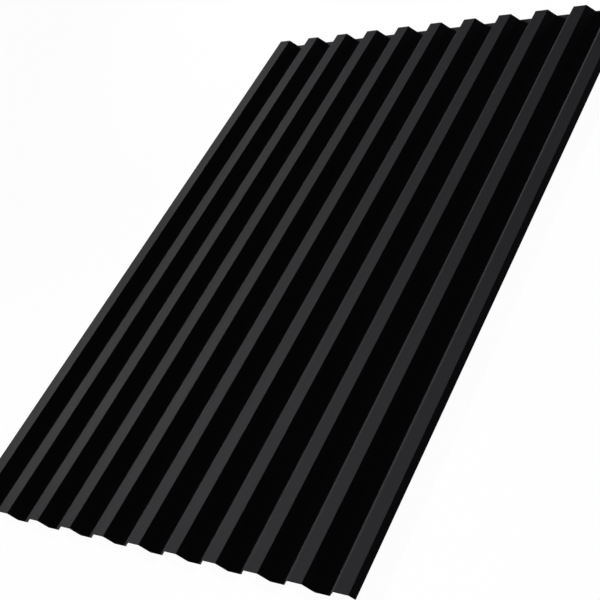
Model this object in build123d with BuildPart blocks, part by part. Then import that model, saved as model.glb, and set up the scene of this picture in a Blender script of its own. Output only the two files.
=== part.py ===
from build123d import *
import math
import os

os.makedirs("parts", exist_ok=True)

# A roof and wall sheet rolled from one painted steel coil. Its ribs run along Y, and the
# valleys between them lie on the plane Z = 0. Sizes are in millimetres, and those of the
# section are taken on the painted upper side, at the sharp corners that the bends round off.

# Stock
sheet_length = 1565.0  # along the ribs, between the two sheared ends
sheet_thickness = 0.5  # steel and paint together

# Rolled section
rib_count = 11
rib_pitch = 100.0  # from one rib to the next
crest_width = 33.0  # flat top of a rib
flank_run = 17.4  # level distance from a crest's corner to the valley
rib_height = 20.5  # from the valley up to the crest
edge_run = 9.0  # level distance from an outer crest's corner to the slit edge
bend_radius = 2.0  # on the inner side of every bend

# The underside is parallel to the upper side, one thickness below it, so each of its
# corners lies nearer to the middle of its rib.
flank_angle = math.atan2(rib_height, flank_run)
corner_shift = sheet_thickness * math.tan(flank_angle / 2)
half_crest = crest_width / 2 - corner_shift
half_foot = half_crest + flank_run
edge_height = rib_height - edge_run * rib_height / flank_run
outer_bend_radius = bend_radius + sheet_thickness

# Corners of the underside from the left edge to the right one. On this side the bends at
# a crest show their inner radius, and the bends at a valley their outer one.
underside = []
bend_radii = []
for rib in range(rib_count):
    middle = (rib - (rib_count - 1) / 2) * rib_pitch
    if rib == 0:
        underside.append((middle - half_crest - edge_run, edge_height))
    else:
        underside.append((middle - half_foot, 0))
        bend_radii.append(outer_bend_radius)
    underside.append((middle - half_crest, rib_height))
    underside.append((middle + half_crest, rib_height))
    bend_radii += [bend_radius, bend_radius]
    if rib == rib_count - 1:
        underside.append((middle + half_crest + edge_run, edge_height))
    else:
        underside.append((middle + half_foot, 0))
        bend_radii.append(outer_bend_radius)

# The bent line of the underside gets the sheet's thickness on its upper side, and the
# closed section runs the length of the sheet, half of it each way from the middle.
with BuildPart() as profiled_sheet:
    with BuildSketch(Plane.XZ) as section:
        with BuildLine() as outline:
            FilletPolyline(*underside, radius=bend_radii)
            offset(amount=sheet_thickness, side=Side.LEFT)
        make_face()
    extrude(amount=sheet_length / 2, both=True)

profiled_sheet.part.label = "profiled_sheet"
export_step(profiled_sheet.part, "parts/profiled_sheet.step")
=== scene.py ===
import math

import bpy
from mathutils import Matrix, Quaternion, Vector


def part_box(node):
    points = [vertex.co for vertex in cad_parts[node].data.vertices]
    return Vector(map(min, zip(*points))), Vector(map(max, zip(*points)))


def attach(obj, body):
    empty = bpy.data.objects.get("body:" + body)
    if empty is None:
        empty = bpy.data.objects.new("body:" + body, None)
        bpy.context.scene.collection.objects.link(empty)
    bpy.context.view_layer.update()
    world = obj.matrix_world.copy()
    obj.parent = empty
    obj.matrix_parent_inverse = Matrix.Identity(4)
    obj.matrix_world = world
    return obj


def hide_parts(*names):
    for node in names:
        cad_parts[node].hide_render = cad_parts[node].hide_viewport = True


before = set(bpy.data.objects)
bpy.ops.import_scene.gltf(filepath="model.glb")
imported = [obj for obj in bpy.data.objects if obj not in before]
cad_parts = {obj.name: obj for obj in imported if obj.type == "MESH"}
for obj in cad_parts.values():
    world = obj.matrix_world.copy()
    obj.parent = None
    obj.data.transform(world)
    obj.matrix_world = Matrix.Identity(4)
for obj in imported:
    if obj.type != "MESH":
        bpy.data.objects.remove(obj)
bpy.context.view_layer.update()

# The sheet: one strip of galvanised steel, painted on both sides while it is still a flat coil. A
# roll former bends it into eleven ribs in one pass, and a shear cuts it to length. It lies loose on
# the undersides of its valleys.
sheet_low, sheet_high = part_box("profiled_sheet")
thickness = 0.0005  # steel and paint together
rib_count = 11
rib_pitch = 0.100  # from one rib to the next
crest_width = 0.033  # flat top of a rib, between the corners that the bends round off
flank_run = 0.0174  # level distance from a crest's corner to the valley
bend_radius = 0.002  # on the inner side of every bend

# The bends are laid out on the underside, whose corners lie nearer to the middle of each rib.
rib_height = sheet_high.z - sheet_low.z - thickness
flank_angle = math.atan2(rib_height, flank_run)
half_crest = crest_width / 2 - thickness * math.tan(flank_angle / 2)
outer_rib = rib_pitch * (rib_count - 1) / 2
edge_run = sheet_high.x - outer_rib - half_crest - thickness * math.sin(flank_angle)


class Term:
    """One output of a node, which Python's operators turn into Math nodes."""

    def __init__(self, graph, source):
        self.graph = graph
        self.source = source

    def also(self, name):
        """Another output of the same node."""
        return Term(self.graph, self.source.node.outputs[name])

    def maths(self, operation, *others):
        return self.graph.maths(operation, self, *others)

    def __add__(self, other):
        return self.graph.maths("ADD", self, other)

    def __sub__(self, other):
        return self.graph.maths("SUBTRACT", self, other)

    def __rsub__(self, other):
        return self.graph.maths("SUBTRACT", other, self)

    def __mul__(self, other):
        return self.graph.maths("MULTIPLY", self, other)

    def __truediv__(self, other):
        return self.graph.maths("DIVIDE", self, other)

    def __mod__(self, other):
        return self.graph.maths("FLOORED_MODULO", self, other)

    def __lt__(self, other):
        return self.graph.maths("LESS_THAN", self, other)

    def __gt__(self, other):
        return self.graph.maths("GREATER_THAN", self, other)

    def __neg__(self):
        return self.graph.maths("MULTIPLY", self, -1.0)

    def __abs__(self):
        return self.graph.maths("ABSOLUTE", self)

    __radd__ = __add__
    __rmul__ = __mul__


class Graph:
    """Adds nodes to one tree: their settings first, then the values or links of their inputs."""

    def __init__(self, tree):
        self.tree = tree

    def add(self, kind, settings=None, inputs=None, output=0):
        node = self.tree.nodes.new(kind)
        for name, value in (settings or {}).items():
            setattr(node, name, value)
        for name, values in (inputs or {}).items():
            for value in values if isinstance(values, list) else [values]:
                if isinstance(value, Term):
                    self.tree.links.new(value.source, node.inputs[name])
                else:
                    node.inputs[name].default_value = value
        return Term(self, node.outputs[output] if node.outputs else None)

    def maths(self, operation, *values):
        return self.add("ShaderNodeMath", {"operation": operation}, dict(enumerate(values)))


def new_finish(name):
    """A material whose tree is emptied, and the object that adds its nodes."""
    material = bpy.data.materials.new(name)
    material.use_nodes = True
    material.node_tree.nodes.clear()
    return material, Graph(material.node_tree)


def noise(graph, place, scale, detail=2.0, roughness=0.5):
    """Soft noise between 0 and 1 with its middle at 0.5."""
    return graph.add("ShaderNodeTexNoise", {"noise_dimensions": "3D", "normalize": True},
                     {"Vector": place, "Scale": scale, "Detail": detail, "Roughness": roughness})


def roller_marks(graph, place, lines, breaks, detail):
    """Faint lines along the coil, with so many of them, and of breaks in them, for each metre."""
    along = graph.add("ShaderNodeSeparateXYZ", inputs={0: place}).also("Y")
    across = graph.add("ShaderNodeAttribute", {"attribute_name": "across"}, output="Fac")
    place = graph.add("ShaderNodeCombineXYZ", inputs={0: across * lines, 1: along * breaks})
    return noise(graph, place, scale=1.0, detail=detail)


def mixed(graph, share, first, second):
    """A colour between two others, by the Mix node's sockets for colours."""
    return graph.add("ShaderNodeMix", {"data_type": "RGBA"}, {0: share, 6: first, 7: second}, 2)


def finish_with(graph, colour, roughness, metallic, height, strength, depth):
    """Ends a material in its shader, over a relief with a strength and a depth in metres."""
    relief = graph.add("ShaderNodeBump", inputs={
        "Strength": strength, "Distance": depth, "Height": height})
    shader = graph.add("ShaderNodeBsdfPrincipled", inputs={
        "Base Color": colour, "Roughness": roughness, "Metallic": metallic, "IOR": 1.5,
        "Specular IOR Level": 0.09, "Normal": relief})
    graph.add("ShaderNodeOutputMaterial", inputs={"Surface": shader})


# Its top coat is about 25 microns of dark semi-matt polyester on a primer, rolled on and baked. It
# has a fine orange peel, faint lines along the coil from the coating rollers, and a slightly duller
# look where the bends have stretched it.
coat_dark, coat_pale = (0.0171, 0.0171, 0.0217, 1), (0.0225, 0.0224, 0.0285, 1)
coat_dullness = 0.65
top_coat, paint = new_finish("top_coat")
object_place = paint.add("ShaderNodeTexCoord", output="Object")
bend = paint.add("ShaderNodeAttribute", {"attribute_name": "bend"}, output="Fac")
roller_lines = roller_marks(paint, object_place, lines=260.0, breaks=1.6, detail=3.0)
clouds = noise(paint, object_place, scale=5.0, detail=3.0)
pigment = noise(paint, object_place, scale=900.0, detail=1.0)
coarse_peel = noise(paint, object_place, scale=420.0, detail=1.0)
fine_peel = noise(paint, object_place, scale=1700.0, detail=1.0)
shade = (clouds - 0.5) * 1.2 + (roller_lines - 0.5) * 1.4 + (pigment - 0.5) * 1.0
roughness = coat_dullness + (roller_lines - 0.5) * 0.10 + (clouds - 0.5) * 0.08 + bend * 0.08
finish_with(paint, mixed(paint, shade + 0.5, coat_dark, coat_pale), roughness, metallic=0.0,
            height=coarse_peel + fine_peel * 0.2, strength=0.8, depth=0.00006)

# Its backing coat is a thinner layer of dark paint on the side that faces the building. It is
# duller than the top coat, slightly mottled, and shows the coating rollers' lines more.
backing_dark, backing_pale = (0.0175, 0.0175, 0.0210, 1), (0.0265, 0.0265, 0.0310, 1)
backing_dullness = 0.74
backing_coat, backing = new_finish("backing_coat")
object_place = backing.add("ShaderNodeTexCoord", output="Object")
roller_lines = roller_marks(backing, object_place, lines=180.0, breaks=1.1, detail=4.0)
mottle = noise(backing, object_place, scale=34.0, detail=4.0, roughness=0.6)
grit = noise(backing, object_place, scale=700.0, detail=2.0)
shade = (roller_lines - 0.5) * 0.9 + (mottle - 0.5) * 0.8
roughness = backing_dullness + (mottle - 0.5) * 0.14 + (roller_lines - 0.5) * 0.08
finish_with(backing, mixed(backing, shade + 0.5, backing_dark, backing_pale), roughness,
            metallic=0.0, height=grit, strength=0.3, depth=0.00003)

# Its cut edges are half a millimetre of steel, cut by the slitter along the two long edges and by
# the shear across the two ends. The blades draw dark paint over them and leave a few bare streaks.
drawn_paint, bare_steel = (0.020, 0.020, 0.023, 1), (0.42, 0.43, 0.44, 1)
drawn_dullness = 0.70
bare_level, streak_edge = 0.60, 8.0  # where the blade marks turn bare, and how sharply
cut_steel, cut = new_finish("cut_steel")
object_place = cut.add("ShaderNodeTexCoord", output="Object")
blade_place = cut.add("ShaderNodeVectorMath", {"operation": "MULTIPLY"}, {
    0: object_place, 1: (1.0, 1.0, 0.15)})
blade_marks = noise(cut, blade_place, scale=1500.0, detail=2.0)
bare = ((blade_marks - bare_level) * streak_edge).maths("MAXIMUM", 0.0).maths("MINIMUM", 1.0)
finish_with(cut, mixed(cut, bare, drawn_paint, bare_steel), drawn_dullness - bare * 0.25,
            metallic=bare, height=blade_marks, strength=0.5, depth=0.00003)

# The roll former bends the strip along four lines for each rib, and the flats between the bends
# stay a little wavy from the coil's own stresses.
forming = bpy.data.node_groups.new("roll_forming", "GeometryNodeTree")
rolls = Graph(forming)
forming_inputs = {
    "Rib Count": ("NodeSocketInt", rib_count),
    "Rib Pitch": ("NodeSocketFloat", rib_pitch),
    "Half Crest": ("NodeSocketFloat", half_crest),
    "Flank Run": ("NodeSocketFloat", flank_run),
    "Rib Height": ("NodeSocketFloat", rib_height),
    "Edge Run": ("NodeSocketFloat", edge_run),
    "Thickness": ("NodeSocketFloat", thickness),
    "Bend Radius": ("NodeSocketFloat", bend_radius),
    "Bend Steps": ("NodeSocketInt", 4),
    "Flat Cuts": ("NodeSocketInt", 5),
    "Length": ("NodeSocketFloat", sheet_high.y - sheet_low.y),
    "Length Steps": ("NodeSocketInt", 60),
    "Wave Depth": ("NodeSocketFloat", 0.00015),
    "Wave Seed": ("NodeSocketFloat", 3.0),
    "Top Coat": ("NodeSocketMaterial", top_coat),
    "Backing Coat": ("NodeSocketMaterial", backing_coat),
    "Cut Steel": ("NodeSocketMaterial", cut_steel),
}
sockets = {name: forming.interface.new_socket(name, in_out="INPUT", socket_type=kind)
           for name, (kind, value) in forming_inputs.items()}
forming.interface.new_socket("Sheet", in_out="OUTPUT", socket_type="NodeSocketGeometry")
given = rolls.add("NodeGroupInput")
count, pitch, height = given.also("Rib Count"), given.also("Rib Pitch"), given.also("Rib Height")
crest, run, gauge = given.also("Half Crest"), given.also("Flank Run"), given.also("Thickness")
steps, reach = given.also("Bend Steps"), given.also("Length") * 0.5

# Four corners for each rib on the strip's underside: foot, crest, crest, foot. The first and the
# last corner are the slit edges, part way down the outer flanks.
number = rolls.add("GeometryNodeInputIndex")
corners = count * 4.0
rib = (number / 4.0).maths("FLOOR")
corner = number - rib * 4.0
side = (corner > 1.5) * 2.0 - 1.0
foot = abs(corner - 1.5) > 1.0
slit = (number < 0.5) + (number > corners - 1.5)
down = foot * (run + slit * (given.also("Edge Run") - run))
corner_x = (rib - (count - 1.0) * 0.5) * pitch + side * (crest + down)
corner_z = height * (1.0 - down / run)
strip = rolls.add("GeometryNodeResampleCurve", {"mode": "COUNT"}, {
    "Curve": rolls.add("GeometryNodeCurvePrimitiveLine"), "Count": corners})
strip = rolls.add("GeometryNodeSetPosition", inputs={
    "Geometry": strip,
    "Position": rolls.add("ShaderNodeCombineXYZ", inputs={0: corner_x, 1: -corner_z})})
strip = rolls.add("GeometryNodeFilletCurve", {"mode": "POLY"}, {
    "Curve": strip, "Count": steps, "Radius": given.also("Bend Radius") + foot * gauge})

# Each bend is now an arc of a few steps, and each flat is one long step that gets its own cuts.
arc_step = (number - 1.0) % (steps + 1.0)
arc = (arc_step / steps * math.pi).maths("SINE")
strip = rolls.add("GeometryNodeStoreNamedAttribute", {"data_type": "FLOAT", "domain": "POINT"}, {
    "Geometry": strip, "Name": "bend", "Value": arc})
strip = rolls.add("GeometryNodeSubdivideCurve", inputs={
    "Curve": strip, "Cuts": (arc_step > steps - 0.5) * given.also("Flat Cuts")})
strip = rolls.add("GeometryNodeStoreNamedAttribute", {"data_type": "FLOAT", "domain": "POINT"}, {
    "Geometry": strip, "Name": "across",
    "Value": rolls.add("GeometryNodeSplineParameter", output="Length")})

# The bent line runs the length of the sheet.
line = rolls.add("GeometryNodeCurvePrimitiveLine", inputs={
    "Start": rolls.add("ShaderNodeCombineXYZ", inputs={1: -reach}),
    "End": rolls.add("ShaderNodeCombineXYZ", inputs={1: reach})})
line = rolls.add("GeometryNodeResampleCurve", {"mode": "COUNT"}, {
    "Curve": line, "Count": given.also("Length Steps") + 1.0})
skin = rolls.add("GeometryNodeCurveToMesh", inputs={"Curve": line, "Profile Curve": strip})

# The flats of crests sink and those of valleys lift by a fraction of the sheet's thickness. The
# waves die out where the bends begin, and each flat has its own.
bend_free, wave_shift, waves_per_metre = 0.93, 5.3, 6.0
place = rolls.add("GeometryNodeInputPosition")
place_x = rolls.add("ShaderNodeSeparateXYZ", inputs={0: place})
half_ribs = place_x / pitch * 2.0 + count
nearest = half_ribs.maths("ROUND")
off_middle = abs(half_ribs - nearest) * pitch * 0.5
on_valley = 1.0 - nearest % 2.0
flat = crest * bend_free
dish = (1.0 - (off_middle / flat) * (off_middle / flat)).maths("MAXIMUM", 0.0)
wave_place = rolls.add("ShaderNodeCombineXYZ", inputs={
    0: nearest * wave_shift, 1: place_x.also("Y") * waves_per_metre, 2: given.also("Wave Seed")})
wave = noise(rolls, wave_place, scale=1.0, detail=1.0)
lift = wave * dish * dish * given.also("Wave Depth") * (on_valley * 2.0 - 1.0)
skin = rolls.add("GeometryNodeSetPosition", inputs={
    "Geometry": skin, "Offset": rolls.add("ShaderNodeCombineXYZ", inputs={2: lift})})

# The painted side lies one thickness above the underside, with the cut edges between them. Only
# the cut edges meet it at an angle sharp enough for a hard edge.
weld_distance, hard_edge = 0.00001, math.radians(50)
solid = rolls.add("GeometryNodeExtrudeMesh", {"mode": "FACES"}, {
    "Mesh": skin, "Offset Scale": gauge, "Individual": False})
painted, sheared = solid.also("Top"), solid.also("Side")
underside = rolls.add("GeometryNodeFlipFaces", inputs={"Mesh": skin})
sheet_mesh = rolls.add("GeometryNodeJoinGeometry", inputs={"Geometry": [solid, underside]})
sheet_mesh = rolls.add("GeometryNodeMergeByDistance", inputs={
    "Geometry": sheet_mesh, "Distance": weld_distance})
sheet_mesh = rolls.add("GeometryNodeSetShadeSmooth", {"domain": "FACE"}, {
    "Geometry": sheet_mesh, "Shade Smooth": True})
sheet_mesh = rolls.add("GeometryNodeSetShadeSmooth", {"domain": "EDGE"}, {
    "Geometry": sheet_mesh, "Shade Smooth": False,
    "Selection": rolls.add("GeometryNodeInputMeshEdgeAngle") > hard_edge})
sheet_mesh = rolls.add("GeometryNodeRealizeInstances", inputs={"Geometry": sheet_mesh})
sheet_mesh = rolls.add("GeometryNodeSetMaterial", inputs={
    "Geometry": sheet_mesh, "Material": given.also("Backing Coat")})
sheet_mesh = rolls.add("GeometryNodeSetMaterial", inputs={
    "Geometry": sheet_mesh, "Selection": painted, "Material": given.also("Top Coat")})
sheet_mesh = rolls.add("GeometryNodeSetMaterial", inputs={
    "Geometry": sheet_mesh, "Selection": sheared, "Material": given.also("Cut Steel")})
rolls.add("NodeGroupOutput", inputs={"Sheet": sheet_mesh})

# The sheet goes through the roll former once. Its flats keep level normals, so that only the
# bends look round.
sheet = bpy.data.objects.new("rolled_sheet", bpy.data.meshes.new("rolled_sheet"))
bpy.context.scene.collection.objects.link(sheet)
roll_former = sheet.modifiers.new("roll_forming", "NODES")
roll_former.node_group = forming
for name, (kind, value) in forming_inputs.items():
    roll_former[sockets[name].identifier] = value
flats_first = sheet.modifiers.new("flats_first", "WEIGHTED_NORMAL")
flats_first.keep_sharp = True
formed = sheet.evaluated_get(bpy.context.evaluated_depsgraph_get())
sheet_skin = bpy.data.meshes.new_from_object(formed)
sheet.modifiers.clear()
sheet.data = sheet_skin
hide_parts("profiled_sheet")
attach(sheet, "root")

# The floor and the wall round it: a plain white studio, much larger than the view. The camera and
# reflections see it as bright as white paper, and a small share of it takes light and shadow.
paper_grey, paper_glow, glow_share = (0.6, 0.6, 0.6, 1), 1.06, 0.92
white_paper, paper = new_finish("white_paper")
seen = paper.add("ShaderNodeLightPath", output="Is Camera Ray")
seen = (seen + seen.also("Is Glossy Ray") + seen.also("Is Transmission Ray")).maths("MINIMUM", 1.0)
matt = paper.add("ShaderNodeBsdfDiffuse", inputs={"Color": paper_grey})
glow = paper.add("ShaderNodeEmission", inputs={"Color": (1, 1, 1, 1), "Strength": paper_glow})
surface = paper.add("ShaderNodeMixShader", inputs={0: seen * glow_share, 1: matt, 2: glow})
paper.add("ShaderNodeOutputMaterial", inputs={"Surface": surface})
room_reach, wall_height, wall_sides = 60.0, 9.0, 48
floor_level = -0.0002  # just clear of the sheet
wall_foot = [(room_reach * math.cos(math.tau * turn / wall_sides),
              room_reach * math.sin(math.tau * turn / wall_sides), floor_level)
             for turn in range(wall_sides)]
wall_top = [(x, y, wall_height) for x, y, z in wall_foot]
wall_faces = [(turn, turn + wall_sides, (turn + 1) % wall_sides + wall_sides,
               (turn + 1) % wall_sides) for turn in range(wall_sides)]
room_mesh = bpy.data.meshes.new("studio_floor")
room_mesh.from_pydata(wall_foot + wall_top, [], [tuple(range(wall_sides))] + wall_faces)
room_mesh.materials.append(white_paper)
studio_floor = bpy.data.objects.new("studio_floor", room_mesh)
bpy.context.scene.collection.objects.link(studio_floor)

# The light: two small softboxes beside the sheet, low enough for each rib to throw a sharp shadow
# over its valley. Each has a grid that narrows its beam, and the ceiling gives a little fill.
softbox_x, softbox_height = -4.3, 1.98
ceiling_glow = 0.060
for name, softbox_y, aim, spread, watts in (
        ("near_softbox", 1.02, (0.56, -0.93), 21.0, 3.02),
        ("far_softbox", 2.40, (1.60, 0.38), 33.8, 12.05)):
    lamp = bpy.data.lights.new(name, "AREA")
    lamp.shape = "RECTANGLE"
    lamp.size, lamp.size_y = 0.40, 0.12
    lamp.spread = math.radians(spread)
    lamp.energy = watts
    softbox = bpy.data.objects.new(name, lamp)
    softbox.location = (softbox_x, softbox_y, softbox_height)
    softbox.rotation_mode = "QUATERNION"
    softbox.rotation_quaternion = (Vector((*aim, 0.0)) - softbox.location).to_track_quat("-Z", "Y")
    bpy.context.scene.collection.objects.link(softbox)
ceiling = bpy.data.worlds.new("studio_ceiling")
ceiling.use_nodes = True
ceiling.node_tree.nodes.clear()
fill = Graph(ceiling.node_tree)
soft_fill = fill.add("ShaderNodeBackground", inputs={
    "Color": (1, 1, 1, 1), "Strength": ceiling_glow})
fill.add("ShaderNodeOutputWorld", inputs={"Surface": soft_fill})
bpy.context.scene.world = ceiling

# The camera: above the sheet's right side and near end, turned about its own axis so that the ribs
# climb to the right as in the photograph.
photo_eye, photo_aim = (1.66798, -1.42536, 1.59154), (0.04817, -0.13976, 0.0)
photo_turn = math.radians(-34.53)
lens = bpy.data.cameras.new("camera")
lens.sensor_width = 36.0
lens.lens = 71.80
lens.clip_end = 500.0
camera = bpy.data.objects.new("camera", lens)
camera.location = photo_eye
look = Vector(photo_aim) - camera.location
tilt = Quaternion((0, 0, 1), photo_turn)
camera.rotation_mode = "QUATERNION"
camera.rotation_quaternion = look.to_track_quat("-Z", "Y") @ tilt
bpy.context.scene.collection.objects.link(camera)
bpy.context.scene.camera = camera
bpy.context.scene.view_settings.view_transform = "Standard"
